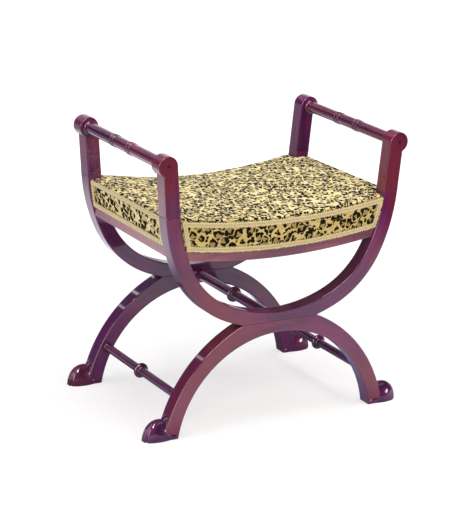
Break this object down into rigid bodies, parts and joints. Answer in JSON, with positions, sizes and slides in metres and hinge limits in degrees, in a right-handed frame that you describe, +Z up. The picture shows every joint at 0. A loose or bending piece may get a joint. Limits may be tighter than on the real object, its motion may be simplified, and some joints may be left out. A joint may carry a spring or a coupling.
{
  "type": "curule bench",
  "caption": "Fixed X-frame curule bench for one sitter: bow-and-arch side frames on paw feet, turned arm rails and stretchers, and a dished stuffed-over seat.",
  "frame": {"origin": "on the floor under the middle of the bench", "axes": "+Z up, +X along the dished seat from arm rail to arm rail, front of the bench towards -Y"},
  "size_m": [0.65, 0.415, 0.6333],
  "materials": {
    "mahogany": "french polished red mahogany",
    "dark_pellet": "dark end-grain pellet",
    "beech": "bare",
    "webbing": "woven jute strap",
    "hessian": "open plain weave",
    "stuffing": "curled fibre",
    "leopard_cloth": "leopard print weave",
    "gimp_braid": "pale gold braid"
  },
  "bodies": {
    "root": {"back_arch": "mahogany", "back_bow": "mahogany", "back_gimp": "gimp_braid", "back_left_corner_block": "beech", "back_left_cross_dowel": "beech", "back_left_dowel": "beech", "back_left_paw": "mahogany", "back_left_pellet": "dark_pellet", "back_left_post": "mahogany", "back_right_corner_block": "beech", "back_right_cross_dowel": "beech", "back_right_dowel": "beech", "back_right_paw": "mahogany", "back_right_pellet": "dark_pellet", "back_right_post": "mahogany", "back_seat_rail": "mahogany", "centre_stretcher": "mahogany", "cross_strap_1": "webbing", "cross_strap_2": "webbing", "cross_strap_3": "webbing", "cross_strap_4": "webbing", "cross_strap_5": "webbing", "front_arch": "mahogany", "front_bow": "mahogany", "front_gimp": "gimp_braid", "front_left_corner_block": "beech", "front_left_cross_dowel": "beech", "front_left_dowel": "beech", "front_left_paw": "mahogany", "front_left_pellet": "dark_pellet", "front_left_post": "mahogany", "front_right_corner_block": "beech", "front_right_cross_dowel": "beech", "front_right_dowel": "beech", "front_right_paw": "mahogany", "front_right_pellet": "dark_pellet", "front_right_post": "mahogany", "front_seat_rail": "mahogany", "hessian_deck": "hessian", "left_arm_rail": "mahogany", "left_gimp": "gimp_braid", "left_seat_rail": "mahogany", "left_stretcher": "mahogany", "long_strap_1": "webbing", "long_strap_2": "webbing", "long_strap_3": "webbing", "right_arm_rail": "mahogany", "right_gimp": "gimp_braid", "right_seat_rail": "mahogany", "right_stretcher": "mahogany", "seat_cover": "leopard_cloth", "seat_stuffing": "stuffing"}
  },
  "joints": []
}
